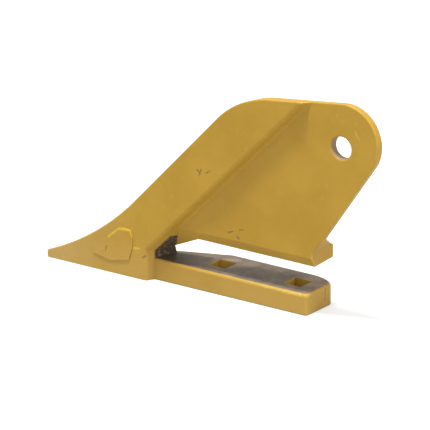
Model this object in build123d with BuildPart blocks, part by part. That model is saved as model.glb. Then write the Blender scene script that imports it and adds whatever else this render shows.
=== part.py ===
from build123d import *
import math
import os

os.makedirs("parts", exist_ok=True)

# Side tooth for a digging bucket, forged in one piece. Millimetres, +Z up.
# X runs back from the point along the bolting bar, Y runs inward across the bucket.
# The origin is on the flat underside, half way between the two square bolt holes.

# Bolting bar with its two square holes
bolt_pitch = 90.0
square_hole = 20.3
head_seat_diameter = 33.0
head_seat_angle = 80.0
bar_height = 22.0
bar_face_to_bolts = 25.3
bolts_to_bar_back = 29.2
bar_end_beyond_bolt = 28.0
bar_flare_length = 55.5
bar_sweep_length = 31.0
bar_sweep_width = 17.0
bar_edge_round = 3.5
bar_corner_round = 4.0
foot_round = 1.2

# Point and block ahead of the bar
point_to_middle = 233.5
point_height = 8.0
point_foot_height = 1.5
point_width = 6.5
curve_length = 107.0
curve_rise = 80.3
block_length = 120.3
block_step_height = 31.5
root_length = 133.5
root_width = 40.6

# Upright wing: leading edge, top edge and rear edge
lead_angle = 46.4
crown_height = 209.6
top_angle = 7.3
rear_angle = 55.2
crown_radius = 100.0
rear_radius = 39.0
draft_angle = 5.0
top_draft_angle = 8.0
plate_thickness = 9.5
rim_round = 1.0

# Recess on the outer side, where the bucket's side plate lies
side_recess = 8.2
recess_angle = 45.3
recess_draft = 27.5
recess_crest_round = 4.0
recess_foot_round = 3.0

# Slot for the bucket's lip, shaped to its bevelled front edge
lip_gap = 28.2
lip_bevel_length = 47.0
slot_skew = 16.3

# Foot of the wing, with its heel at the rear and its shoulder at the front
foot_end = 313.4
foot_bevel_height = 9.2
foot_bevel_angle = 31.0
heel_length = 18.0
heel_height = 13.1
heel_width = 48.6
heel_slope = 28.8
shoulder_top_length = 153.0
shoulder_foot_length = 172.0
back_round = 5.0
heel_round = 2.0

# Round hole for the side bolt
side_hole = 22.6
side_hole_x = 112.6
side_hole_z = 178.8
side_hole_edge = 1.8

# Raised pad on the block
pad_rise = 0.9

# Places worked out from the sizes above
point_x = -point_to_middle
face_y = -bar_face_to_bolts - side_recess
recess_y = -bar_face_to_bolts
wing_depth = side_recess + plate_thickness
wing_back_y = face_y + wing_depth
root_back_y = face_y + root_width
heel_back_y = face_y + heel_width
bar_back_y = bolts_to_bar_back
bar_end_x = bolt_pitch / 2 + bar_end_beyond_bolt
foot_end_x = point_x + foot_end
ceiling_z = bar_height + lip_gap
heel_top_z = ceiling_z + heel_height
foot_bevel_z = ceiling_z + foot_bevel_height
below = 12.0
beyond = 400.0


def tangent(degrees):
    return math.tan(math.radians(degrees))


def heading(degrees):
    return Vector(math.cos(math.radians(degrees)), math.sin(math.radians(degrees)))


def crossing(start, start_angle, other, other_angle):
    """Point where two straight edges of the side view meet."""
    gap = Vector(*other) - Vector(*start)
    run = heading(start_angle)
    cross = heading(other_angle)
    along = (gap.X * cross.Y - gap.Y * cross.X) / (run.X * cross.Y - run.Y * cross.X)
    return Vector(*start) + run * along


# The step has two drafted faces, one upright on the block and one slanting across the wing.
# The slot starts where their common edge reaches the bottom of the recess.
recess_run = side_recess * tangent(recess_draft)
step_x = point_x + block_length
slot_x = step_x + recess_run
slot_z = block_step_height - recess_run * tangent(45 - recess_angle / 2)
skew = Vector(0, 1, 0).rotate(Axis.Z, -slot_skew)
step_corner = (step_x, face_y, block_step_height)
step_across = heading(recess_angle - 90)
upright_step = Plane(step_corner, z_dir=(1, -tangent(recess_draft), 0))
slanting_step = Plane(step_corner, z_dir=(step_across.X, -tangent(recess_draft), step_across.Y))

# Outer face: every upright outline is drawn on it and reaches inward from it
outer_face = Plane.XZ.offset(-face_y)
recess_face = Plane.XZ.offset(-recess_y)
wing_back = Plane.XZ.offset(-wing_back_y)


def side_corners(depth):
    """Corners of the side view at a depth from the outer face, moved inside it by the draft."""
    inset = depth * tangent(draft_angle)
    top_inset = depth * tangent(top_draft_angle)
    edge_start = Vector(point_x + curve_length, curve_rise)
    edge_end = edge_start + heading(lead_angle) * (
        (crown_height - curve_rise) / heading(lead_angle).Y
    )
    curve_end = edge_start + heading(lead_angle - 90) * inset
    top_edge = edge_end + heading(top_angle - 90) * top_inset
    rear_edge = Vector(foot_end_x, heel_top_z) + heading(rear_angle + 90) * inset
    return {
        "point top": Vector(point_x + inset, point_height - inset),
        "nose": Vector(point_x + inset, point_foot_height - inset),
        "curve end": curve_end,
        "crown": crossing(curve_end, lead_angle, top_edge, top_angle),
        "rear": crossing(top_edge, top_angle, rear_edge, rear_angle),
        "foot": crossing(rear_edge, rear_angle, (foot_end_x - inset, 0), 90),
    }


def edges_at(*places):
    """Edges of the piece being made that run through the given places."""
    return [edges().sort_by_distance(Vector(*place))[0] for place in places]


def on_step(height, depth):
    """Place on the slanting step at a height and a depth in from the outer face."""
    run = (height - block_step_height) / tangent(recess_angle)
    run += depth * tangent(recess_draft) / heading(recess_angle).Y
    return (step_x + run, face_y + depth, height)


def wing_edge(depth, start, end):
    """Place half way along a straight edge of the side view, at a depth from the outer face."""
    corner = side_corners(depth)
    middle = (corner[start] + corner[end]) / 2
    return (middle.X, face_y + depth, middle.Y)


# Bolting bar, which flares inward from the root and is swept round at its inner rear corner
with BuildPart() as bolting_bar:
    with BuildSketch(Plane.XY):
        with BuildLine():
            Polyline(
                (bar_end_x - bar_sweep_length, bar_back_y),
                (point_x + root_length + bar_flare_length, bar_back_y),
                (point_x + root_length, root_back_y),
                (slot_x - below, root_back_y - below),
                (slot_x - below, recess_y),
                (bar_end_x, recess_y),
                (bar_end_x, bar_back_y - bar_sweep_width),
            )
            EllipticalCenterArc(
                (bar_end_x - bar_sweep_length, bar_back_y - bar_sweep_width),
                bar_sweep_length,
                bar_sweep_width,
                arc_size=90,
            )
        make_face()
    extrude(amount=bar_height)
    fillet(edges_at((bar_end_x, recess_y, bar_height / 2)), bar_corner_round)
    fillet(edges_at((0, recess_y, bar_height)), bar_edge_round)
    fillet(edges_at((0, recess_y, 0)), foot_round)

# Waste below and behind the step, where the bucket's side plate will lie
with BuildPart() as recess_waste:
    with BuildSketch(outer_face):
        Rectangle(2 * beyond, 2 * beyond)
    extrude(amount=-side_recess)
    split(bisect_by=upright_step)
    split(bisect_by=slanting_step)

# Waste under the wing's foot: the slanting step runs on inward above the lip,
# down to a plane that slopes in under the plate
with BuildPart() as foot_waste:
    with BuildSketch(Plane.YZ):
        with BuildLine():
            Polyline(
                (recess_y, foot_bevel_z),
                (recess_y + (foot_bevel_z - slot_z) * tangent(foot_bevel_angle), slot_z),
                (recess_y, slot_z),
                close=True,
            )
        make_face()
    extrude(amount=beyond, both=True)
    split(bisect_by=slanting_step)

with BuildPart() as side_tooth:
    # Whole side view, with a forging draft inward from the outer face
    for depth in (0, heel_width):
        inset = depth * tangent(draft_angle)
        corner = side_corners(depth)
        hidden_x = point_x + root_length + below
        hidden_z = bar_height + bar_edge_round
        with BuildSketch(outer_face.offset(-depth)):
            with BuildLine():
                TangentArc(
                    corner["curve end"],
                    corner["point top"],
                    tangent=heading(lead_angle) * -1,
                )
                Polyline(
                    corner["point top"],
                    corner["nose"],
                    (point_x + below, -below),
                    (hidden_x, -below),
                    (hidden_x, hidden_z),
                    (corner["foot"].X, hidden_z),
                    corner["foot"],
                    corner["rear"],
                    corner["crown"],
                    corner["curve end"],
                )
            make_face()
            fillet(vertices().sort_by_distance(corner["crown"])[0], crown_radius - inset)
            fillet(vertices().sort_by_distance(corner["rear"])[0], rear_radius - inset)
    loft(ruled=True)

    # The wing is only a plate: behind it nothing stands above the sloped ledge
    ledge_rise = (heel_back_y - wing_back_y) * tangent(heel_slope)
    with BuildSketch(Plane.YZ):
        with BuildLine():
            Polyline(
                (wing_back_y, heel_top_z + ledge_rise),
                (heel_back_y, heel_top_z),
                (heel_back_y + below, heel_top_z),
                (heel_back_y + below, beyond),
                (wing_back_y, beyond),
                close=True,
            )
        make_face()
    extrude(amount=beyond, both=True, mode=Mode.SUBTRACT)

    # Between the front shoulder and the heel the ledge is left out, clear of the bolts
    heel_front_x = foot_end_x - heel_length
    with BuildSketch(wing_back):
        with BuildLine():
            Polyline(
                (point_x + shoulder_foot_length, 0),
                (point_x + shoulder_foot_length, ceiling_z),
                (point_x + shoulder_top_length, heel_top_z + ledge_rise + below),
                (heel_front_x, heel_top_z + ledge_rise + below),
                (heel_front_x, 0),
                close=True,
            )
        make_face()
    extrude(amount=-heel_width, mode=Mode.SUBTRACT)

    # Inner side of the point: one flat slope from the narrow tip to the full root width
    widening = (root_width - point_width) / root_length
    slope = Vector(-widening, 1, widening * heading(lead_angle).X / heading(lead_angle).Y)
    with BuildSketch(Plane((point_x, face_y + point_width, 0), z_dir=slope)):
        Rectangle(2 * beyond, 2 * beyond)
    extrude(amount=beyond, mode=Mode.SUBTRACT)

    add(recess_waste.part, mode=Mode.SUBTRACT)
    add(foot_waste.part, mode=Mode.SUBTRACT)

    # Slot for the lip, cut askew so that its end wall slants back across the root
    with BuildSketch(recess_face):
        with BuildLine():
            Polyline(
                (slot_x, -below),
                (slot_x, slot_z),
                (slot_x + lip_bevel_length, ceiling_z),
                (beyond, ceiling_z),
                (beyond, -below),
                close=True,
            )
        make_face()
    extrude(amount=2 * heel_width, dir=skew, mode=Mode.SUBTRACT)

    # Flat underside
    with BuildSketch(Plane.XY):
        Rectangle(2 * beyond, 2 * beyond)
    extrude(amount=-beyond, mode=Mode.SUBTRACT)

    # Bolting bar, which flares inward from the root
    add(bolting_bar.part)

    # Square holes for the bolts, with a countersunk seat below for each bolt's head
    seat_depth = (head_seat_diameter - square_hole) / 2 / tangent(head_seat_angle / 2)
    for bolt_x in (-bolt_pitch / 2, bolt_pitch / 2):
        with BuildSketch(Plane.XY):
            with Locations((bolt_x, 0)):
                Rectangle(square_hole, square_hole)
        extrude(amount=bar_height, mode=Mode.SUBTRACT)
        with Locations((bolt_x, 0, 0)):
            Cone(
                head_seat_diameter / 2,
                square_hole / 2,
                seat_depth,
                align=(Align.CENTER, Align.CENTER, Align.MIN),
                mode=Mode.SUBTRACT,
            )

    # Round hole for the side bolt
    with BuildSketch(outer_face):
        with Locations((side_hole_x, side_hole_z)):
            Circle(side_hole / 2)
    extrude(amount=-heel_width, mode=Mode.SUBTRACT)

    # Rounded crest and foot of the step, and rounded top of the sloped foot
    middle_z = (foot_bevel_z + crown_height) / 2
    fillet(
        edges_at(on_step(middle_z, side_recess), (0, recess_y, foot_bevel_z)),
        recess_foot_round,
    )
    fillet(
        edges_at(on_step(middle_z, 0), (step_x, face_y, block_step_height / 2)),
        recess_crest_round,
    )

    # Rounds where the ledge and the heel grow out of the wing's back
    ledge_top_z = heel_top_z + ledge_rise
    fillet(
        edges_at(
            (heel_front_x, wing_back_y, foot_bevel_z),
            (foot_end_x, wing_back_y, ledge_top_z),
        ),
        back_round,
    )
    heel_middle_x = foot_end_x - heel_length / 2
    fillet(
        edges_at(
            (heel_front_x, heel_back_y, foot_bevel_z),
            (heel_middle_x, heel_back_y, heel_top_z),
            (heel_middle_x, heel_back_y, ceiling_z),
            (heel_front_x, 0, ceiling_z),
            (heel_front_x, 0, heel_top_z + heel_back_y * tangent(heel_slope)),
        ),
        heel_round,
    )

    # Rims of the wing: the outer one runs on smoothly across the step and behind it
    fillet(edges_at(wing_edge(0, "curve end", "crown")), rim_round)
    fillet(edges_at(wing_edge(wing_depth, "rear", "foot")), rim_round)

    # Both rims of the side bolt's hole
    for rim_y in (recess_y, wing_back_y):
        fillet(edges_at((side_hole_x - side_hole / 2, rim_y, side_hole_z)), side_hole_edge)

    # Raised pad on the outer side of the block, with sloped sides
    with BuildSketch(outer_face):
        with BuildLine():
            pad_lower = Spline(
                (point_x + 57.0, 17.0),
                (point_x + 57.5, 26.5),
                (point_x + 64.0, 31.5),
                (point_x + 74.0, 37.0),
                (point_x + 83.0, 45.0),
                (point_x + 91.0, 49.0),
                (point_x + 102.5, 47.0),
            )
            Polyline(
                pad_lower @ 1,
                (point_x + 104.5, 39.0),
                (point_x + 104.0, 31.0),
                (point_x + 100.0, 18.0),
                (point_x + 78.0, 13.0),
                pad_lower @ 0,
            )
        make_face()
    extrude(amount=pad_rise)

side_tooth.part.label = "side_tooth"
export_step(side_tooth.part, "parts/side_tooth.step")
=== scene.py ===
import math

import bpy
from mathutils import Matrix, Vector

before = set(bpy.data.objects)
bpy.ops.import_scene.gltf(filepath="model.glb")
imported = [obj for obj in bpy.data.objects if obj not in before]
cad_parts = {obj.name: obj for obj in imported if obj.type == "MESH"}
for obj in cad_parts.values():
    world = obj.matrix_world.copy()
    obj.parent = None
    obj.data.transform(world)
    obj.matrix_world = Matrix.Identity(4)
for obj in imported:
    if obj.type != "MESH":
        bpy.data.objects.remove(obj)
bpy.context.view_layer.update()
MM = 0.001

# Side tooth: one steel forging, sprayed with golden machine paint. The paint never
# covered the top of the bolting bar, which lies bare and brown under the bucket's lip.
# The slot's end wall is raw too, rough and dark with rust.
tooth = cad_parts["side_tooth"]

PAINT = (0.425, 0.247, 0.020, 1)
PAINT_DEEP = (0.385, 0.218, 0.014, 1)
PAINT_PALE = (0.56, 0.37, 0.07, 1)
PAINT_DUSTY = (0.46, 0.305, 0.10, 1)
PAINT_CREASE_SHADE = (0.20, 0.125, 0.020, 1)
PAINT_HIGHLIGHT = (0.66, 0.44, 0.02, 1)
STEEL = (0.150, 0.112, 0.074, 1)
STEEL_DARK = (0.075, 0.056, 0.034, 1)
STEEL_PALE = (0.225, 0.178, 0.125, 1)
OVERSPRAY = (0.27, 0.19, 0.075, 1)
RUST = (0.060, 0.038, 0.018, 1)
RUST_PALE = (0.24, 0.165, 0.115, 1)
SMUDGE_AND_SHADE = (0.13, 0.085, 0.028, 1)

# Real places on the tooth, in its own frame
BAR_TOP = 22.0 * MM
BAR_END = 73.0 * MM
OUTER_FACE = -33.5 * MM
RECESS_FACE = -25.3 * MM
SLOT_WALL = -109.0 * MM
SLOT_CEILING = 50.2 * MM
SIDE_HOLE = Vector((112.6, 0.0, 178.8)) * MM
SIDE_HOLE_RADIUS = 11.3 * MM


def new_group(name, inputs, outputs):
    """Shader group with inputs (name, kind, default) and outputs (name, kind)."""
    group = bpy.data.node_groups.new(name, "ShaderNodeTree")
    for socket, kind, default in inputs:
        made = group.interface.new_socket(socket, in_out="INPUT", socket_type=kind)
        if default is not None:
            made.default_value = default
    for socket, kind in outputs:
        group.interface.new_socket(socket, in_out="OUTPUT", socket_type=kind)
    return group, group.nodes.new("NodeGroupInput"), group.nodes.new("NodeGroupOutput")


def feed(tree, value, socket):
    """Give a socket a number, a vector, a colour or another socket's result."""
    if isinstance(value, bpy.types.NodeSocket):
        tree.links.new(value, socket)
    else:
        socket.default_value = value


def maths(tree, operation, *operands):
    """Math node whose operands are sockets or numbers."""
    node = tree.nodes.new("ShaderNodeMath")
    node.operation = operation
    for value, socket in zip(operands, node.inputs):
        feed(tree, value, socket)
    return node.outputs[0]


def times(tree, *factors):
    """Product of several masks."""
    result = factors[0]
    for factor in factors[1:]:
        result = maths(tree, "MULTIPLY", result, factor)
    return result


def vector_maths(tree, operation, first, second):
    """Vector math node on two sockets or vectors; returns the node."""
    node = tree.nodes.new("ShaderNodeVectorMath")
    node.operation = operation
    feed(tree, first, node.inputs[0])
    feed(tree, second, node.inputs[1])
    return node


def ramp(tree, value, low, high, low_out=0.0, high_out=1.0):
    """Smooth step of a value between two levels."""
    node = tree.nodes.new("ShaderNodeMapRange")
    node.interpolation_type = "SMOOTHSTEP"
    for name, given in (
        ("Value", value),
        ("From Min", low),
        ("From Max", high),
        ("To Min", low_out),
        ("To Max", high_out),
    ):
        feed(tree, given, node.inputs[name])
    return node.outputs["Result"]


def noise(tree, vector, scale, detail=3.0, roughness=0.55):
    """Noise texture over a coordinate, as its node."""
    node = tree.nodes.new("ShaderNodeTexNoise")
    node.inputs["Scale"].default_value = scale
    node.inputs["Detail"].default_value = detail
    node.inputs["Roughness"].default_value = roughness
    tree.links.new(vector, node.inputs["Vector"])
    return node


def blend(tree, factor, under, over):
    """Colour mix of two colours or sockets by a factor."""
    node = tree.nodes.new("ShaderNodeMix")
    node.data_type = "RGBA"
    feed(tree, factor, node.inputs["Factor"])
    feed(tree, under, node.inputs["A"])
    feed(tree, over, node.inputs["B"])
    return node.outputs["Result"]


# Edge group: how near a point is to an outward edge, for wear, or to an inward corner, for painted
# shade
edge_and_crease, edge_and_crease_in, edge_and_crease_out = new_group(
    "edge_wear_and_crease_shade",
    [("Vector", "NodeSocketVector", None), ("Reach", "NodeSocketFloat", 0.003)],
    [("Edge", "NodeSocketFloat"), ("Crease", "NodeSocketFloat")],
)
inside = edge_and_crease.nodes.new("ShaderNodeAmbientOcclusion")
inside.inside = True
inside.samples = 12
edge_and_crease.links.new(edge_and_crease_in.outputs["Reach"], inside.inputs["Distance"])
outside = edge_and_crease.nodes.new("ShaderNodeAmbientOcclusion")
outside.samples = 12
feed(edge_and_crease, maths(edge_and_crease, "MULTIPLY", edge_and_crease_in.outputs["Reach"], 2.5), outside.inputs["Distance"])
edge = ramp(edge_and_crease, maths(edge_and_crease, "SUBTRACT", 1.0, inside.outputs["AO"]), 0.10, 0.50)
broken = noise(edge_and_crease, edge_and_crease_in.outputs["Vector"], 120.0, 4.0).outputs["Fac"]
feed(edge_and_crease, times(edge_and_crease, edge, ramp(edge_and_crease, broken, 0.30, 0.60)), edge_and_crease_out.inputs["Edge"])
# Crease: nearness to an inward corner, used to paint shade there
crease = ramp(edge_and_crease, maths(edge_and_crease, "SUBTRACT", 1.0, outside.outputs["AO"]), 0.25, 0.80)
feed(edge_and_crease, crease, edge_and_crease_out.inputs["Crease"])

# Mark group: mask of a soft-edged stroke between two places, for scratches, chips and stains
mark, mark_in, mark_out = new_group(
    "stroke_mark",
    [
        ("Vector", "NodeSocketVector", None),
        ("Start", "NodeSocketVector", None),
        ("End", "NodeSocketVector", None),
        ("Width", "NodeSocketFloat", 0.001),
        ("Softness", "NodeSocketFloat", 0.5),
    ],
    [("Mask", "NodeSocketFloat")],
)
run = vector_maths(mark, "SUBTRACT", mark_in.outputs["End"], mark_in.outputs["Start"])
away = vector_maths(mark, "SUBTRACT", mark_in.outputs["Vector"], mark_in.outputs["Start"])
reached = vector_maths(mark, "DOT_PRODUCT", away.outputs["Vector"], run.outputs["Vector"])
whole = vector_maths(mark, "DOT_PRODUCT", run.outputs["Vector"], run.outputs["Vector"])
share = maths(mark, "DIVIDE", reached.outputs["Value"], whole.outputs["Value"])
share = maths(mark, "MINIMUM", maths(mark, "MAXIMUM", share, 0.0), 1.0)
nearest = mark.nodes.new("ShaderNodeVectorMath")
nearest.operation = "SCALE"
mark.links.new(run.outputs["Vector"], nearest.inputs[0])
mark.links.new(share, nearest.inputs["Scale"])
gap = vector_maths(mark, "DISTANCE", away.outputs["Vector"], nearest.outputs["Vector"])
core = maths(mark, "SUBTRACT", 1.0, mark_in.outputs["Softness"])
inner = maths(mark, "MULTIPLY", mark_in.outputs["Width"], core)
feed(
    mark,
    ramp(mark, gap.outputs["Value"], inner, mark_in.outputs["Width"], 1.0, 0.0),
    mark_out.inputs["Mask"],
)

finish = bpy.data.materials.new("forged_yellow_paint")
finish.use_nodes = True
tree = finish.node_tree
tree.nodes.clear()
shader = tree.nodes.new("ShaderNodeBsdfPrincipled")
output = tree.nodes.new("ShaderNodeOutputMaterial")
tree.links.new(shader.outputs["BSDF"], output.inputs["Surface"])
place = tree.nodes.new("ShaderNodeTexCoord").outputs["Object"]
split = tree.nodes.new("ShaderNodeSeparateXYZ")
tree.links.new(place, split.inputs["Vector"])
along_x, along_y, height = split.outputs
facing = tree.nodes.new("ShaderNodeNewGeometry")
facing_split = tree.nodes.new("ShaderNodeSeparateXYZ")
tree.links.new(facing.outputs["True Normal"], facing_split.inputs["Vector"])
facing_x, facing_y, facing_z = facing_split.outputs

edge_and_crease_masks = tree.nodes.new("ShaderNodeGroup")
edge_and_crease_masks.node_tree = edge_and_crease
edge_and_crease_masks.inputs["Reach"].default_value = 2.5 * MM
tree.links.new(place, edge_and_crease_masks.inputs["Vector"])

# Coordinates shaken a little, so that no mark or border is a clean line
shake = noise(tree, place, 420.0, 3.0).outputs["Color"]
shake = vector_maths(tree, "SUBTRACT", shake, (0.5, 0.5, 0.5)).outputs["Vector"]
shaken = tree.nodes.new("ShaderNodeVectorMath")
shaken.operation = "MULTIPLY_ADD"
feed(tree, shake, shaken.inputs[0])
feed(tree, (3.0 * MM, 3.0 * MM, 3.0 * MM), shaken.inputs[1])
feed(tree, place, shaken.inputs[2])
shaken = shaken.outputs["Vector"]


def stroke(start, end, width, softness=0.5):
    """Mask of one mark between two places in millimetres."""
    node = tree.nodes.new("ShaderNodeGroup")
    node.node_tree = mark
    tree.links.new(shaken, node.inputs["Vector"])
    node.inputs["Start"].default_value = Vector(start) * MM
    node.inputs["End"].default_value = Vector(end) * MM + Vector((0, 0, 0.01 * MM))
    node.inputs["Width"].default_value = width * MM
    node.inputs["Softness"].default_value = softness
    return node.outputs["Mask"]


def strokes(places):
    """Strongest of several marks, each (start, end, width, softness)."""
    result = stroke(*places[0])
    for given in places[1:]:
        result = maths(tree, "MAXIMUM", result, stroke(*given))
    return result


# Paint: faint clouds and mottling, dust towards the point, pale edges, painted shade in the inward
# corners
clouds = noise(tree, place, 16.0, 3.0).outputs["Fac"]
mottle = noise(tree, place, 190.0, 4.0, 0.6).outputs["Fac"]
paint = blend(tree, ramp(tree, clouds, 0.35, 0.65), PAINT_DEEP, PAINT)
dusty = ramp(tree, along_x, -110 * MM, -235 * MM, 0.0, 0.75)
low = ramp(tree, height, 60 * MM, 5 * MM, 0.0, 0.35)
dust = maths(tree, "MAXIMUM", dusty, low)
dust = times(tree, dust, ramp(tree, clouds, 0.25, 0.6, 0.6, 1.0))
paint = blend(tree, dust, paint, PAINT_DUSTY)
paint = blend(tree, ramp(tree, mottle, 0.55, 0.80, 0.0, 0.30), paint, PAINT_PALE)
paint = blend(tree, maths(tree, "MULTIPLY", edge_and_crease_masks.outputs["Edge"], 0.65), paint, PAINT_PALE)
# Painted shade: the paint is darkened in inward corners and creases, where occlusion falls
paint = blend(tree, maths(tree, "MULTIPLY", edge_and_crease_masks.outputs["Crease"], 0.40), paint, PAINT_CREASE_SHADE)

# Bare steel on the bar's top, with overspray round the holes and at the rear end
upward = ramp(tree, facing_z, 0.80, 0.95)
rise = maths(tree, "ADD", height, maths(tree, "MULTIPLY", mottle, 0.8 * MM))
level = times(
    tree,
    ramp(tree, rise, BAR_TOP - 0.35 * MM, BAR_TOP + 0.25 * MM),
    ramp(tree, height, BAR_TOP + 0.5 * MM, BAR_TOP + 1.0 * MM, 1.0, 0.0),
    ramp(tree, along_x, SLOT_WALL - 2 * MM, SLOT_WALL),
)
bare = times(tree, upward, level)
stains = noise(tree, place, 38.0, 4.0, 0.6).outputs["Fac"]
grain = noise(tree, place, 700.0, 3.0, 0.7).outputs["Fac"]
steel = blend(tree, ramp(tree, stains, 0.30, 0.70), STEEL_DARK, STEEL)
steel = blend(tree, ramp(tree, grain, 0.50, 0.75, 0.0, 0.6), steel, STEEL_PALE)
worn_patches = strokes(
    [
        ((-32, 4, 22), (-22, 14, 22), 13, 0.9),
        ((-48, 12, 22), (-40, 16, 22), 8, 0.9),
        ((58, 2, 22), (66, 4, 22), 10, 0.9),
    ]
)
steel = blend(tree, maths(tree, "MULTIPLY", worn_patches, 0.65), steel, STEEL_PALE)
sprayed = strokes(
    [
        ((-45, 0, 22), (-44, 0, 22), 17, 0.5),
        ((45, 0, 22), (46, 0, 22), 17, 0.5),
        ((70, -20, 22), (72, 16, 22), 11, 0.9),
    ]
)
sprayed = times(tree, sprayed, ramp(tree, stains, 0.25, 0.6))
steel = blend(tree, maths(tree, "MULTIPLY", sprayed, 0.7), steel, OVERSPRAY)
# Bare steel darker towards the slot's root wall
root_darkening = ramp(tree, along_x, -62 * MM, -98 * MM, 0.0, 0.8)
steel = blend(tree, root_darkening, steel, STEEL_DARK)
colour = blend(tree, bare, paint, steel)

# Raw end wall of the slot, rough with scale and rust
raw = times(
    tree,
    ramp(tree, facing_x, 0.35, 0.60),
    ramp(tree, along_x, -80 * MM, -86 * MM),
    ramp(tree, along_y, RECESS_FACE - 1.0 * MM, RECESS_FACE + 1.5 * MM),
    ramp(tree, height, SLOT_CEILING, SLOT_CEILING - 3 * MM),
    ramp(tree, height, BAR_TOP - 1 * MM, BAR_TOP),
)
scale = noise(tree, place, 330.0, 5.0, 0.7).outputs["Fac"]
rust = blend(tree, ramp(tree, scale, 0.48, 0.70), RUST, RUST_PALE)
colour = blend(tree, raw, colour, rust)

# Bare wall of the side bolt's hole
from_axis = vector_maths(
    tree, "MULTIPLY", vector_maths(tree, "SUBTRACT", place, SIDE_HOLE).outputs["Vector"], (1, 0, 1)
)
radius = tree.nodes.new("ShaderNodeVectorMath")
radius.operation = "LENGTH"
tree.links.new(from_axis.outputs["Vector"], radius.inputs[0])
bore = ramp(
    tree, radius.outputs["Value"], SIDE_HOLE_RADIUS + 0.2 * MM, SIDE_HOLE_RADIUS + 0.9 * MM, 1.0, 0.0
)
colour = blend(tree, maths(tree, "MULTIPLY", bore, 0.8), colour, RUST_PALE)

# Scratches, nicks and smudges with a painted shade line down the bar's end, chips with a painted
# highlight along the bar's upper edge, and a painted highlight on the pad's rim
dark_marks_and_edge_shade = strokes(
    [
        ((-51.5, -33.5, 127.0), (-47.5, -33.5, 123.6), 1.1, 0.6),
        ((-46.5, -33.5, 128.2), (-49.0, -33.5, 121.6), 0.9, 0.6),
        ((-40.5, -33.5, 125.2), (-36.2, -33.5, 128.4), 1.0, 0.6),
        ((-80.5, -32.0, 131.5), (-78.5, -31.0, 132.5), 1.8, 0.4),
        ((36.5, -24.6, 214.6), (40.5, -24.6, 215.0), 1.3, 0.6),
        ((-20.0, -25.3, 66.8), (-15.0, -25.3, 68.4), 1.1, 0.6),
        ((-7.0, -25.3, 71.6), (-2.6, -25.3, 72.8), 0.8, 0.7),
        ((-9.4, -25.3, 64.8), (-7.6, -25.3, 62.4), 1.4, 0.7),
        # Painted shade: a dark line down the bar's end face, where it turns into its far chamfer
        ((73.0, 6.2, 19.6), (73.0, 5.4, 7.0), 0.8, 0.6),
        ((-162.0, -34.4, 22.0), (-160.0, -34.4, 27.0), 1.0, 0.8),
        ((-117.0, -33.5, 23.0), (-113.0, -33.5, 26.0), 1.6, 0.9),
    ]
)
colour = blend(tree, maths(tree, "MULTIPLY", dark_marks_and_edge_shade, 0.75), colour, SMUDGE_AND_SHADE)
chips_and_edge_highlight = strokes(
    [
        ((77.0, -24.8, 219.2), (79.0, -24.8, 219.6), 1.5, 0.4),
        # Painted highlight: pale paint along the bar's upper near edge, partly chipped paint and
        # partly painted highlight on the lit rounded edge
        ((20.0, -24.6, 20.6), (46.0, -24.6, 20.8), 1.6, 0.8),
        ((46.0, -25.0, 20.2), (64.0, -24.6, 20.6), 2.4, 0.6),
        ((64.0, -25.0, 20.0), (71.5, -22.0, 19.0), 1.8, 0.7),
        ((129.0, -25.0, 199.0), (134.0, -25.0, 191.0), 1.4, 0.6),
    ]
)
chips_and_edge_highlight = times(tree, chips_and_edge_highlight, ramp(tree, mottle, 0.35, 0.55))
colour = blend(tree, maths(tree, "MULTIPLY", chips_and_edge_highlight, 0.55), colour, PAINT_PALE)
# Painted highlight: bright paint along the pad's upper rim and its right corner, where the rim faces
# the high lamp
pad_rim_highlight = strokes(
    [
        ((-158.0, -34.4, 37.0), (-146.0, -34.4, 47.5), 1.6, 0.8),
        ((-146.0, -34.4, 47.6), (-131.0, -34.4, 48.6), 2.0, 0.7),
        ((-131.0, -34.4, 46.0), (-130.0, -34.4, 43.0), 1.4, 0.7),
        ((-127.0, -33.6, 31.0), (-122.0, -33.6, 31.5), 1.8, 0.8),
    ]
)
colour = blend(tree, maths(tree, "MULTIPLY", pad_rim_highlight, 0.75), colour, PAINT_HIGHLIGHT)
tree.links.new(colour, shader.inputs["Base Color"])

# Sheen: satin paint, duller steel and dust, smoother paint where the highlight is painted on the
# pad's rim
rough = ramp(tree, mottle, 0.30, 0.70, 0.46, 0.60)
rough = maths(tree, "ADD", rough, maths(tree, "MULTIPLY", dust, 0.12))
rough = maths(tree, "ADD", rough, maths(tree, "MULTIPLY", raw, 0.30))
rough = maths(tree, "SUBTRACT", rough, maths(tree, "MULTIPLY", pad_rim_highlight, 0.22))
tree.links.new(rough, shader.inputs["Roughness"])
shader.inputs["Specular IOR Level"].default_value = 0.35

# Surface: fine forging skin under the paint, coarse scale on the raw wall, shallow scratches
skin = noise(tree, place, 260.0, 4.0, 0.6).outputs["Fac"]
relief = maths(tree, "MULTIPLY", skin, 0.22)
relief = maths(tree, "ADD", relief, times(tree, raw, scale, 2.2))
relief = maths(tree, "ADD", relief, times(tree, bare, grain, 0.35))
relief = maths(tree, "SUBTRACT", relief, maths(tree, "MULTIPLY", dark_marks_and_edge_shade, 0.35))
relief = maths(tree, "SUBTRACT", relief, maths(tree, "MULTIPLY", chips_and_edge_highlight, 0.25))
bump = tree.nodes.new("ShaderNodeBump")
bump.inputs["Strength"].default_value = 0.7
bump.inputs["Distance"].default_value = 0.6 * MM
tree.links.new(relief, bump.inputs["Height"])
tree.links.new(bump.outputs["Normal"], shader.inputs["Normal"])
tooth.data.materials[0] = finish

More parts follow.
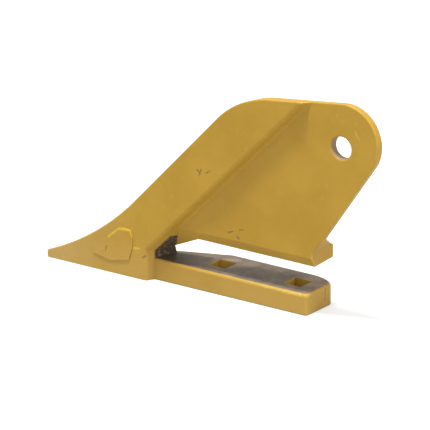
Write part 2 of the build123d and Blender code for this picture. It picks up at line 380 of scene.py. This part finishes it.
# Camera: a long lens a little to the left of the tooth and above it, as in the photograph
PHOTO_WIDTH = 415.5 * MM
LENS = 670.0
camera_data = bpy.data.cameras.new("camera")
camera = bpy.data.objects.new("camera", camera_data)
bpy.context.scene.collection.objects.link(camera)
camera_data.sensor_width = 36.0
camera_data.lens = LENS
azimuth = math.radians(36.0)
elevation = math.radians(19.12)
towards_camera = Vector(
    (
        math.sin(azimuth) * math.cos(elevation),
        -math.cos(azimuth) * math.cos(elevation),
        math.sin(elevation),
    )
)
aim = Vector((-29.9, -33.5, 84.9)) * MM
distance = PHOTO_WIDTH * LENS / camera_data.sensor_width
camera.location = aim + towards_camera * distance
camera.rotation_euler = (-towards_camera).to_track_quat("-Z", "Y").to_euler()
camera_data.clip_start = distance * 0.1
camera_data.clip_end = distance * 10
bpy.context.scene.camera = camera

# Studio: a high lamp from the front, a wide panel on the right, and a white surround
FLOOR_SIZE = 12.0
bpy.ops.mesh.primitive_plane_add(size=FLOOR_SIZE, location=(0, 0, -0.05 * MM))
floor = bpy.context.object
floor.name = "floor"
floor_paint = bpy.data.materials.new("floor_white")
floor_paint.use_nodes = True
floor_tree = floor_paint.node_tree
floor_tree.nodes.clear()
seen = floor_tree.nodes.new("ShaderNodeLightPath")
matt = floor_tree.nodes.new("ShaderNodeBsdfDiffuse")
matt.inputs["Color"].default_value = (0.45, 0.45, 0.45, 1)
glow = floor_tree.nodes.new("ShaderNodeEmission")
pale = floor_tree.nodes.new("ShaderNodeBsdfDiffuse")
pale.inputs["Color"].default_value = (0.9, 0.9, 0.9, 1)
shown = floor_tree.nodes.new("ShaderNodeMixShader")
shown.inputs["Fac"].default_value = 0.4
floor_tree.links.new(glow.outputs["Emission"], shown.inputs[1])
floor_tree.links.new(pale.outputs["BSDF"], shown.inputs[2])
either = floor_tree.nodes.new("ShaderNodeMixShader")
floor_tree.links.new(seen.outputs["Is Camera Ray"], either.inputs["Fac"])
floor_tree.links.new(matt.outputs["BSDF"], either.inputs[1])
floor_tree.links.new(shown.outputs["Shader"], either.inputs[2])
floor_out = floor_tree.nodes.new("ShaderNodeOutputMaterial")
floor_tree.links.new(either.outputs["Shader"], floor_out.inputs["Surface"])
floor.data.materials.append(floor_paint)


def lamp(name, direction, strength, spread):
    """Sun whose light travels along a direction, softened over an angle in degrees."""
    data = bpy.data.lights.new(name, "SUN")
    data.energy = strength
    data.angle = math.radians(spread)
    made = bpy.data.objects.new(name, data)
    bpy.context.scene.collection.objects.link(made)
    made.rotation_euler = Vector(direction).to_track_quat("-Z", "Y").to_euler()


lamp("high_lamp", (0.0, 0.18, -0.98), 4.2, 9.0)
lamp("right_panel", (-1.0, 0.12, -0.15), 1.1, 60.0)

world = bpy.data.worlds.new("white_surround")
bpy.context.scene.world = world
world.use_nodes = True
sky = world.node_tree
sky.nodes.clear()
ray = sky.nodes.new("ShaderNodeLightPath")
around = sky.nodes.new("ShaderNodeTexCoord")
around_split = sky.nodes.new("ShaderNodeSeparateXYZ")
sky.links.new(around.outputs["Generated"], around_split.inputs["Vector"])
soft = sky.nodes.new("ShaderNodeBackground")
brightness = ramp(sky, around_split.outputs["Z"], -0.3, 0.5, 0.45, 0.90)
sky.links.new(brightness, soft.inputs["Strength"])
plain = sky.nodes.new("ShaderNodeBackground")
chosen = sky.nodes.new("ShaderNodeMixShader")
sky.links.new(ray.outputs["Is Camera Ray"], chosen.inputs["Fac"])
sky.links.new(soft.outputs["Background"], chosen.inputs[1])
sky.links.new(plain.outputs["Background"], chosen.inputs[2])
sky_out = sky.nodes.new("ShaderNodeOutputWorld")
sky.links.new(chosen.outputs["Shader"], sky_out.inputs["Surface"])
for background in (soft, plain):
    background.inputs["Color"].default_value = (1, 1, 1, 1)

bpy.context.scene.view_settings.view_transform = "Standard"
